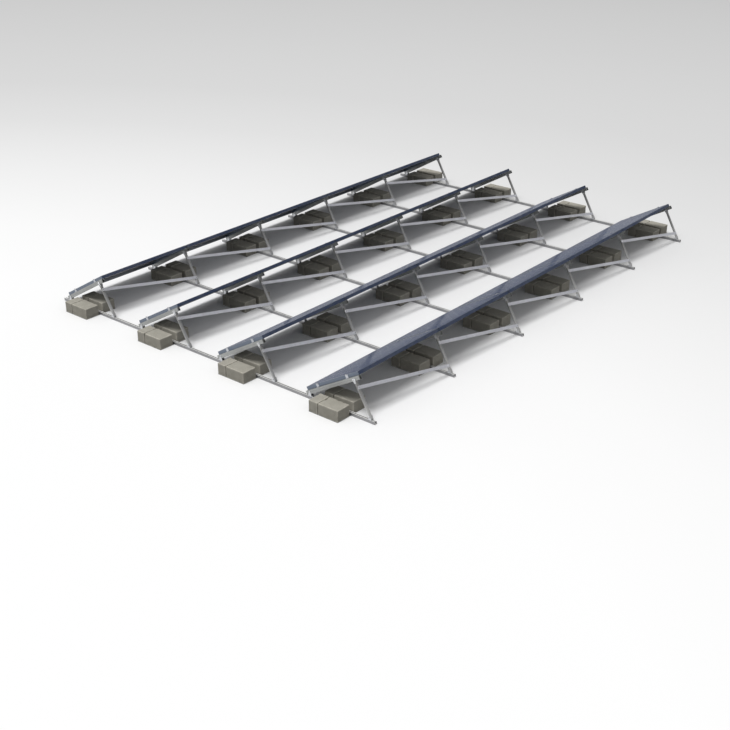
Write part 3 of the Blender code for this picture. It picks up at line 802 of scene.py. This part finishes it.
def sloped_rails():
    """Box section below a C slot, with a shallow groove along each side."""
    half, top = 0.5 * RAIL_WIDTH, 0.5 * RAIL_HEIGHT
    inner, mouth, slot_floor = half - RAIL_WALL, 0.5 * RAIL_SLOT_MOUTH, top - RAIL_SLOT_DEPTH
    lip_end, lip_side, ceiling = top - RAIL_LIP_DROP, mouth + RAIL_LIP_WALL, top - RAIL_LIP
    groove, sunk = 0.5 * RAIL_GROOVE_WIDTH, half - RAIL_GROOVE_DEPTH
    outer = [(half, -top), (half, -groove), (sunk, RAIL_GROOVE_SLANT - groove), (sunk, groove - RAIL_GROOVE_SLANT),
             (half, groove), (half, top), (mouth, top), (mouth, lip_end), (lip_side, lip_end),
             (lip_side, ceiling), (inner, ceiling), (inner, slot_floor)]
    chamber = [(inner, RAIL_WALL - top), (inner, slot_floor - RAIL_WALL)]
    loops = [rounded(mirrored(outer), SECTION_RADIUS), rounded(mirrored(chamber), SECTION_RADIUS)]
    middle = -UP_SLOPE * (PIVOT_INSET - 0.5 * RAIL_LENGTH)
    unit = bar_mesh("sloped_rail", [(loops, RAIL_LENGTH, axes_matrix(middle, ACROSS, SQUARE))])
    show_on_lines("sloped_rails", unit, RAIL_ALUMINIUM)


def rear_legs():
    """U channels with their webs to the rear."""
    half_width, half_depth = 0.5 * LEG_WIDTH, 0.5 * LEG_DEPTH
    inner = half_width - LEG_WALL
    half = [(half_width, half_depth), (half_width, -half_depth), (inner, -half_depth), (inner, half_depth - LEG_WALL)]
    head = 0.5 * RAIL_HEIGHT
    sole = LEG_LINE - (SADDLE_TOP - BASE_TOP + LEG_FOOT_GAP + half_depth * math.sin(TILT)) / math.cos(TILT)
    matrix = axes_matrix(on_leg(0.5 * (head + sole)), ACROSS, UP_SLOPE)
    unit = bar_mesh("rear_leg", [([rounded(mirrored(half), SECTION_RADIUS)], sole - head, matrix)])
    show_on_lines("rear_legs", unit, LEG_ALUMINIUM)


def saddle_bars(pivot):
    """Plate and two round-topped ears of a saddle about a pivot."""
    rise = pivot.z + PIVOT_HEIGHT - SADDLE_BOTTOM
    foot = pivot - UPRIGHT * rise
    half, inside = 0.5 * SADDLE_LENGTH, 0.5 * RAIL_WIDTH
    tangent = math.atan2(rise, half) + math.acos(EAR_RADIUS / math.hypot(half, rise))
    start = math.pi - tangent
    ear = [(-half, 0.0), (half, 0.0), (half, SADDLE_PLATE)]
    for step in range(EAR_STEPS + 1):
        angle = start + (math.pi - 2.0 * start) * step / EAR_STEPS
        ear.append((EAR_RADIUS * math.cos(angle), rise + EAR_RADIUS * math.sin(angle)))
    ear.append((-half, SADDLE_PLATE))
    bars = []
    for side in SIDES:
        middle = foot + ACROSS * side * (inside + 0.5 * SADDLE_EAR)
        bars.append(([ear], SADDLE_EAR, axes_matrix(middle, ALONG_Y, UPRIGHT)))
    plate = [(x, y + 0.5 * SADDLE_PLATE) for x, y in box_outline(inside + SADDLE_PLATE_BITE, 0.5 * SADDLE_PLATE)]
    bars.append(([plate], SADDLE_LENGTH, axes_matrix(foot, ACROSS, UPRIGHT)))
    return bars


def saddles():
    """Low and foot saddles of every line."""
    unit = bar_mesh("saddle", saddle_bars(Vector((0.0, 0.0, 0.0))) + saddle_bars(FOOT_PIVOT))
    show_on_lines("saddles", unit, PLATE_STEEL)


def head_plates():
    """Plates that tie each leg to its sloped rail."""
    half_head, half_toe = 0.5 * HEAD_PLATE_LENGTH, 0.5 * HEAD_PLATE_TOE
    toe, head = -0.5 * RAIL_HEIGHT - HEAD_PLATE_DROP, -0.5 * RAIL_HEIGHT + HEAD_PLATE_RISE
    outline = rounded([(half_toe, toe), (half_head, head), (-half_head, head), (-half_toe, toe)], HEAD_PLATE_CORNER, 4)
    offset = 0.5 * (RAIL_WIDTH + HEAD_PLATE_THICKNESS)
    bars = [([outline], HEAD_PLATE_THICKNESS, axes_matrix(on_leg(0.0) + ACROSS * side * offset, -UP_SLOPE, SQUARE))
            for side in SIDES]
    show_on_lines("head_plates", bar_mesh("head_plate", bars), PLATE_STEEL)


def brace_ends():
    """Where a brace meets its own leg and the next one, on their rear faces."""
    head, rear = 0.5 * RAIL_HEIGHT, 0.5 * LEG_DEPTH
    start = on_leg(head + BRACE_START_SHARE * LEG_RUN) + UP_SLOPE * rear
    end = on_leg(head + BRACE_END_SHARE * LEG_RUN) + UP_SLOPE * (rear + SEAT_GAP) + ACROSS * BAY
    return start, end


def diagonal_braces():
    """Angle bars from the head of a leg to the foot of the next."""
    start, end = brace_ends()
    along = (end - start).normalized()
    upward = UP_SLOPE.cross(along).normalized()
    half = 0.5 * BRACE_WIDTH
    outline = [(-half, 0.0), (half, 0.0), (half, BRACE_WALL), (BRACE_WALL - half, BRACE_WALL),
               (BRACE_WALL - half, BRACE_LIP), (-half, BRACE_LIP)]
    length = (end - start).length + 2.0 * BRACE_TAIL
    matrix = axes_matrix(0.5 * (start + end), upward, along.cross(upward))
    unit = bar_mesh("diagonal_brace", [([rounded(outline, SECTION_RADIUS)], length, matrix)])
    show_on_lines("diagonal_braces", unit, BRACE_ALUMINIUM, lines=LINE_COUNT - 1)


def ballast_trays():
    """Sheet tray under the base rail, with a bolted tab on each side of it."""
    side = 0.5 * BASE_WIDTH + BLOCK_TO_RAIL + BLOCK_WIDTH + TRAY_MARGIN
    middle, half_tab = 0.5 * BALLAST_LENGTH, 0.5 * TRAY_TAB_LENGTH
    ground = Vector((0.0, BALLAST_SETBACK - FOOT_TO_PIVOT, -PIVOT_HEIGHT))
    sheet = rounded(box_outline(side, middle + TRAY_MARGIN), TRAY_CORNER)
    centre = ground + Vector((0.0, middle, 0.5 * TRAY_THICKNESS))
    bars = [([sheet], TRAY_THICKNESS, axes_matrix(centre, ACROSS, ALONG_Y))]
    tab = rounded([(-half_tab, 0.0), (half_tab, 0.0), (half_tab, TRAY_TAB_HEIGHT), (-half_tab, TRAY_TAB_HEIGHT)],
                  TAB_CORNER)
    tab_x = 0.5 * BASE_WIDTH + SEAT_GAP + 0.5 * TRAY_TAB_THICKNESS
    for way in SIDES:
        seat = ground + Vector((way * tab_x, middle, TRAY_THICKNESS - BITE))
        bars.append(([tab], TRAY_TAB_THICKNESS, axes_matrix(seat, ALONG_Y, UPRIGHT)))
    show_on_lines("ballast_trays", bar_mesh("tray", bars), TRAY_STEEL, "ballast")


def cuts(length, radius):
    """Grid lines along a block's edge, close together where the edge is rounded."""
    edge = [share * radius for share in EDGE_CUTS]
    inner = length - 2.0 * edge[-1]
    count = max(1, round(inner / BLOCK_MESH_PITCH))
    middle = [edge[-1] + inner * step / count for step in range(1, count)]
    return edge + middle + [length - value for value in reversed(edge)]


def noise_at(place, scale, offset=(0.0, 0.0, 0.0)):
    """Value of a noise field at a place."""
    return noise.noise(place * scale + Vector(offset))


def add_block(shape, low, size, wear, tone, tone_value):
    """Rounded concrete block with chipped edges; its flat foot stands on the tray."""
    radius = BLOCK_EDGE_RADIUS
    grids = [cuts(length, radius) for length in size]
    last = [len(grid) - 1 for grid in grids]
    near_edge = EDGE_REACH * radius
    found = {}

    def vertex(i, j, k):
        """Vertex at a place in the block's grid, made once."""
        if (i, j, k) in found:
            return found[i, j, k]
        flat = Vector((grids[0][i], grids[1][j], grids[2][k]))
        core = Vector([min(max(value, radius), length - radius) for value, length in zip(flat, size)])
        core.z = min(max(flat.z, FOOT_ROUNDING * radius), size[2] - radius)
        away = flat - core
        point = core + away.normalized() * radius if away.length > 1e-9 else flat.copy()
        point.z = max(point.z, 0.0) if k else 0.0
        at_edge = sum(value < near_edge or value > length - near_edge for value, length in zip(flat, size)) > 1
        place = low + point
        chip = max(0.0, noise_at(place, CHIP_SCALE) - CHIP_START) * (CHIP_DEPTH if at_edge else 0.0)
        depth = FOOT_DRAFT
        inward = Vector(size) * 0.5 - point
        if k:
            rough, sag = noise_at(place, *ROUGHNESS_FIELD), noise_at(place, *SAG_FIELD)
            depth = chip + ROUGHNESS_DEPTH * rough + SAG_DEPTH * sag + MOULD_DRAFT
        else:
            inward.z = 0.0
        made = shape.verts.new(place + inward.normalized() * depth)
        made[wear] = min(1.0, (1.0 if at_edge else 0.0) + CHIP_WEAR * chip / CHIP_DEPTH)
        made[tone] = tone_value
        found[i, j, k] = made
        return made

    for fixed in range(3):
        first, second = [axis for axis in range(3) if axis != fixed]
        for level in (0, last[fixed]):
            for a in range(last[first]):
                for b in range(last[second]):
                    ring = []
                    for da, db in ((0, 0), (1, 0), (1, 1), (0, 1)):
                        index = [0, 0, 0]
                        index[fixed], index[first], index[second] = level, a + da, b + db
                        ring.append(vertex(*index))
                    shape.faces.new(ring).smooth = True


def concrete_blocks():
    """Long and short blocks on both sides of every base rail."""
    inside = 0.5 * BASE_WIDTH + BLOCK_TO_RAIL
    kinds = (("long_blocks", 0.0, LONG_BLOCK, LONG_CONCRETE),
             ("short_blocks", LONG_BLOCK + BLOCK_JOINT, SHORT_BLOCK, SHORT_CONCRETE))
    for kind, start, length, material in kinds:
        for row in range(ROW_COUNT):
            shape = bmesh.new()
            wear = shape.verts.layers.float.new("edge_wear")
            tone = shape.verts.layers.float.new("block_tone")
            foot_y = foot_place(row) + BALLAST_SETBACK + start
            for line in range(LINE_COUNT):
                for side in SIDES:
                    near = side * inside
                    low_x = line_place(line) + min(near, near + side * BLOCK_WIDTH)
                    low = Vector((low_x, foot_y, TRAY_THICKNESS))
                    tone_value = 0.5 + 0.5 * noise_at(low, *TONE_FIELD)
                    add_block(shape, low, (BLOCK_WIDTH, length, BLOCK_HEIGHT), wear, tone, tone_value)
            show(f"{kind}_r{row + 1}", plain_mesh(shape, kind), row_nodes("ballast", row), material)


def module_frames():
    """Mitred frame of every module: outer wall, lip over the glass, groove and bottom flange."""
    top, bottom = MODULE_TOP, MODULE_BOTTOM
    groove, shelf = FRAME_WALL + FRAME_GROOVE, FRAME_LIP - FRAME_SHELF_SETBACK
    shelf_bottom, flange_top = GLASS_BACK - FRAME_SHELF, bottom + FRAME_FLANGE_THICKNESS
    section = rounded([
        (0.0, bottom), (0.0, top), (FRAME_LIP, top), (FRAME_LIP, GLASS_TOP), (groove, GLASS_TOP),
        (groove, GLASS_BACK), (shelf, GLASS_BACK), (shelf, shelf_bottom), (FRAME_WALL, shelf_bottom),
        (FRAME_WALL, flange_top), (FRAME_FLANGE, flange_top), (FRAME_FLANGE, bottom)], FRAME_RADIUS, 2)
    shape = bmesh.new()
    uv = shape.loops.layers.uv.new("lengthwise")
    start, end = 0.5 * MODULE_GAP, 0.5 * MODULE_GAP + MODULE_LENGTH
    rings = []
    for inset, height in section:
        rings.append([shape.verts.new((x, y, height)) for x, y in (
            (start + inset, HIGH_EDGE + inset), (end - inset, HIGH_EDGE + inset),
            (end - inset, LOW_EDGE - inset), (start + inset, LOW_EDGE - inset))])
    girth = 0.0
    for index, ring in enumerate(rings):
        after = (index + 1) % len(rings)
        width = (Vector(section[after]) - Vector(section[index])).length
        for corner in range(4):
            turn = (corner + 1) % 4
            face = shape.faces.new((ring[corner], ring[turn], rings[after][turn], rings[after][corner]))
            run = (ring[turn].co - ring[corner].co).length
            places = ((girth, 0.0), (girth, run), (girth + width, run), (girth + width, 0.0))
            for loop, place in zip(face.loops, places):
                loop[uv].uv = place
        girth += width
    show_in_bays("module_frames", finished(shape, "module_frame"), FRAME_ANODISED)


def laminates():
    """Backed glass sheets that sit in the frames' grooves."""
    inset = FRAME_WALL + FRAME_GROOVE
    outline = box_outline(0.5 * MODULE_LENGTH - inset, 0.5 * MODULE_WIDTH - inset)
    thickness = LAMINATE_THICKNESS - 2.0 * CELL_RAISE
    middle = Vector((0.5 * BAY, 0.5 * (LOW_EDGE + HIGH_EDGE), GLASS_TOP - CELL_RAISE - 0.5 * thickness))
    unit = bar_mesh("laminate", [([outline], thickness, axes_matrix(middle, ACROSS, ALONG_Y))])
    show_in_bays("laminates", unit, BACKSHEET)


def plates(name, columns, length, width, corner, thickness, finish):
    """Thin plates in rows on every module of a row."""
    return run_tree(PLATE_TREE, name, bpy.data.meshes.new("module_points"), {
        "Columns": columns, "Rows": CELL_ROWS, "Column Pitch": CELL_PITCH, "Row Pitch": CELL_PITCH,
        "Plate Length": length, "Plate Width": width, "Corner Cut": corner,
        "Thickness": thickness, "Modules": LINE_COUNT - 1, "Module Pitch": BAY, "Finish": finish})


def cells_and_busbars():
    """Silicon cells with cut corners, and the flat wires that join them."""
    centre = Matrix.Translation((0.5 * BAY, 0.5 * (LOW_EDGE + HIGH_EDGE), GLASS_TOP - 2.0 * CELL_RAISE))
    cells = plates("cells", CELL_COLUMNS, CELL_SIDE, CELL_SIDE, CELL_CORNER, 2.0 * CELL_RAISE, SILICON)
    cells.transform(centre)
    show_on_slope("cells", cells)
    length = CELL_COLUMNS * CELL_PITCH + BUSBAR_OVERHANG
    lines = []
    for line in range(BUSBARS_PER_CELL):
        offset = CELL_SIDE * ((line + 0.5) / BUSBARS_PER_CELL - 0.5)
        bars = plates("busbars", 1, length, BUSBAR_WIDTH, BUSBAR_CORNER, CELL_RAISE, BUSBAR_TIN)
        bars.transform(Matrix.Translation((0.0, offset, 2.0 * CELL_RAISE)) @ centre)
        lines.append(bars)
    show_on_slope("busbars", joined("busbars", lines))


def junction_boxes():
    """Box on a module's back: body, stepped lid and two cable glands."""
    half_length, half_width = 0.5 * JUNCTION_LENGTH, 0.5 * JUNCTION_WIDTH
    middle = Vector((0.5 * BAY, HIGH_EDGE + JUNCTION_EDGE + half_width, GLASS_BACK))
    bars, done = [], 0.0
    for share, inset, radius in JUNCTION_STEPS:
        thickness = share * JUNCTION_DEPTH
        outline = rounded(box_outline(half_length - inset, half_width - inset), radius, 4)
        centre = middle - UPRIGHT * (done + 0.5 * thickness)
        bars.append(([outline], thickness + BITE, axes_matrix(centre, ACROSS, ALONG_Y)))
        done += thickness
    turns = [math.tau * step / GLAND_SIDES for step in range(GLAND_SIDES)]
    gland = [(GLAND_RADIUS * math.cos(turn), GLAND_RADIUS * math.sin(turn)) for turn in turns]
    for side in SIDES:
        centre = middle + Vector((side * GLAND_SPREAD, half_width + GLAND_REACH, -GLAND_DROP))
        bars.append(([gland], GLAND_LENGTH, axes_matrix(centre, ACROSS, -UPRIGHT)))
    show_in_bays("junction_boxes", bar_mesh("junction_box", bars), JUNCTION_PLASTIC)


def clamps():
    """T clamps between modules and Z clamps at a row's ends."""
    foot, cap = MODULE_BOTTOM, MODULE_TOP
    stem, grip = 0.5 * MODULE_GAP - CLAMP_SIDE_GAP, 0.5 * MODULE_GAP + CLAMP_GRIP
    tee = mirrored([(stem, foot), (stem, cap), (grip, cap), (grip, cap + CLAMP_THICKNESS)])
    web, toe = stem - CLAMP_THICKNESS, -0.5 * RAIL_WIDTH
    zed = [(toe, foot), (stem, foot), (stem, cap), (grip, cap), (grip, cap + CLAMP_THICKNESS),
           (web, cap + CLAMP_THICKNESS), (web, foot + CLAMP_THICKNESS), (toe, foot + CLAMP_THICKNESS)]
    zed_back = [(-x, z) for x, z in reversed(zed)]
    outlines = [zed, *[tee] * (LINE_COUNT - 2), zed_back]
    bars = []
    for y in CLAMP_PLACES:
        for line, outline in enumerate(outlines):
            matrix = axes_matrix(Vector((line * BAY, y, 0.0)), ACROSS, UPRIGHT)
            bars.append(([rounded(outline, CLAMP_RADIUS, 2)], CLAMP_LENGTH, matrix))
    show_on_slope("clamps", bar_mesh("clamps", bars), CLAMP_ALUMINIUM)


def bolt_places():
    """Seat and axis of the bolts of one line, about its low pivot, and of its nuts with thread ends."""
    heads, nuts = [], []

    def through(point, reach):
        """Bolt head on one side and nut on the other."""
        heads.append((point - ACROSS * reach, -ACROSS))
        nuts.append((point + ACROSS * reach, ACROSS))

    for pivot in (Vector((0.0, 0.0, 0.0)), FOOT_PIVOT):
        through(pivot, 0.5 * RAIL_WIDTH + SADDLE_EAR)
        foot = Vector((0.0, pivot.y, SADDLE_TOP - PIVOT_HEIGHT))
        for way in SIDES:
            heads.append((foot + ALONG_Y * way * FOOT_BOLT_SPREAD, UPRIGHT))
    for down in HEAD_PLATE_BOLTS:
        through(on_leg(down), 0.5 * RAIL_WIDTH + HEAD_PLATE_THICKNESS)
    tab_x = 0.5 * BASE_WIDTH + SEAT_GAP + TRAY_TAB_THICKNESS
    tab_y = BALLAST_SETBACK - FOOT_TO_PIVOT + 0.5 * BALLAST_LENGTH
    for way in SIDES:
        heads.append((Vector((way * tab_x, tab_y, TRAY_THICKNESS + TAB_BOLT_HEIGHT - PIVOT_HEIGHT)), ACROSS * way))
    return heads, nuts


def bolts_on(points, thread, seed):
    """Bolts on seats, each given with its axis."""
    mesh = bpy.data.meshes.new("bolt_points")
    mesh.from_pydata([tuple(seat) for seat, _ in points], [], [])
    axes = mesh.attributes.new("axis", "FLOAT_VECTOR", "POINT")
    axes.data.foreach_set("vector", [value for _, axis in points for value in axis])
    return run_tree(BOLT_TREE, "bolts", mesh, {"Thread Length": thread, "Seed": seed, "Finish": BOLT_STAINLESS})


def bolts():
    """Every bolt and nut of a row, set by the bolt tree."""
    heads, nuts = bolt_places()
    brace_bolts = [(end + UP_SLOPE * BRACE_WALL, UP_SLOPE) for end in brace_ends()]
    for row in range(ROW_COUNT):
        head_points, nut_points = [], []
        for line in range(LINE_COUNT):
            move = pivot_place(row) + ACROSS * line * BAY
            in_line = heads + brace_bolts if line < LINE_COUNT - 1 else heads
            head_points.extend((place + move, axis) for place, axis in in_line)
            nut_points.extend((place + move, axis) for place, axis in nuts)
            for y in CLAMP_PLACES:
                seat = slope_matrix(row) @ Vector((line * BAY, y, MODULE_TOP + CLAMP_THICKNESS))
                head_points.append((seat, SQUARE))
        seed = BOLT_SEED + row
        made = [bolts_on(head_points, HEAD_THREAD, seed), bolts_on(nut_points, NUT_THREAD, seed)]
        show(f"bolts_r{row + 1}", joined("bolts", made), row_nodes("frame", row))


# ---------------------------------------------------------------- studio

def looking(direction):
    """Turn of a camera or lamp that looks along a direction."""
    return direction.to_track_quat("-Z", "Y").to_euler()


def camera():
    """Camera at the photograph's angle."""
    data = bpy.data.cameras.new("camera")
    data.lens, data.sensor_width, data.clip_end = CAMERA_LENS, CAMERA_SENSOR, CAMERA_REACH
    eye = in_scene("camera", data)
    eye.location = (CAMERA_X, foot_place(0) - CAMERA_BEFORE_FEET, CAMERA_HEIGHT)
    eye.rotation_euler = looking(Vector(CAMERA_AIM))
    bpy.context.scene.camera = eye


def light():
    """One broad soft lamp from nearly overhead and an even dome."""
    data = bpy.data.lights.new("key", "SUN")
    data.energy, data.angle = SUN_STRENGTH, SUN_SOFTNESS
    in_scene("key", data).rotation_euler = looking(-Vector(SUN_FROM))
    world = bpy.data.worlds.new("dome")
    bpy.context.scene.world = world
    world.use_nodes = True
    background = world.node_tree.nodes["Background"].inputs
    background[0].default_value = (1.0, 1.0, 1.0, 1.0)
    background[1].default_value = WORLD_STRENGTH


def floor():
    """Round studio floor."""
    shape = bmesh.new()
    bmesh.ops.create_circle(shape, cap_ends=True, segments=FLOOR_SIDES, radius=FLOOR_RADIUS)
    mesh = bpy.data.meshes.new("floor")
    shape.to_mesh(mesh)
    shape.free()
    mesh.materials.append(studio_floor())
    in_scene("floor", mesh)


# ---------------------------------------------------------------- run

camera()
light()
floor()

DRAW_MARKS = draw_marks_effect()
SETTLED_DUST = settled_dust_effect()
CAST_GRAIN = cast_grain_effect()

# Base rails: a painted highlight pales their up-facing tops.
BASE_ALUMINIUM = aluminium("base_rail_aluminium", (0.40, 0.40, 0.41), (0.32, 0.32, 0.33), (0.42, 0.58), 0.15,
                           painted_top_light=(0.90, 0.90, 0.88))
RAIL_ALUMINIUM = aluminium("sloped_rail_aluminium", (0.44, 0.45, 0.445), (0.36, 0.37, 0.365), (0.42, 0.58))
# Legs: painted shade darkens them towards their heads.
LEG_ALUMINIUM = aluminium("leg_aluminium", (0.64, 0.64, 0.635), (0.535, 0.535, 0.53), (0.40, 0.56), painted_head_shade=0.60)
BRACE_ALUMINIUM = aluminium("brace_aluminium", (0.82, 0.83, 0.88), (0.71, 0.72, 0.77), (0.40, 0.56))
CLAMP_ALUMINIUM = aluminium("clamp_aluminium", (0.66, 0.68, 0.72), (0.52, 0.54, 0.58))
PLATE_STEEL = sheet_metal("plate_steel", (0.70, 0.71, 0.73), (0.52, 0.53, 0.55), 120.0)
TRAY_STEEL = sheet_metal("tray_galvanised", (0.62, 0.64, 0.66), (0.42, 0.44, 0.46), 60.0)
BOLT_STAINLESS = sheet_metal("bolt_stainless", (0.74, 0.74, 0.75), (0.55, 0.55, 0.56), 300.0, (0.22, 0.36))
LONG_CONCRETE = concrete("long_block_concrete", (0.44, 0.42, 0.365), (0.355, 0.34, 0.292), (0.23, 0.218, 0.186))
SHORT_CONCRETE = concrete("short_block_concrete", (0.45, 0.43, 0.375), (0.35, 0.335, 0.29), (0.22, 0.208, 0.178))
# Frame tones: the rear is painted shade, the ends and underside painted light.
FRAME_ANODISED = anodised("frame_anodised", bright=(0.17, 0.19, 0.25), dull=(0.10, 0.115, 0.16),
                          rear=(0.050, 0.070, 0.130), ends=(0.165, 0.195, 0.250), under=(0.45, 0.47, 0.51))
BACKSHEET = under_glass("backsheet", (0.36, 0.38, 0.42), (0.30, 0.32, 0.36), 3.0)
SILICON = under_glass("silicon_cell", (0.023, 0.041, 0.103), (0.034, 0.058, 0.131), 7.0)
BUSBAR_TIN = under_glass("busbar_tin", (0.38, 0.40, 0.45), (0.30, 0.32, 0.37), 30.0)
JUNCTION_PLASTIC = moulded_plastic("junction_plastic", (0.018, 0.018, 0.019), (0.035, 0.035, 0.036))

ROW_TREE = row_tree()
PLATE_TREE = plate_tree()
BOLT_TREE = bolt_tree()

base_rails()
sloped_rails()
rear_legs()
saddles()
head_plates()
diagonal_braces()
ballast_trays()
concrete_blocks()
module_frames()
laminates()
cells_and_busbars()
junction_boxes()
clamps()
bolts()

scene = bpy.context.scene
scene.view_settings.view_transform = "Standard"
bpy.context.view_layer.update()
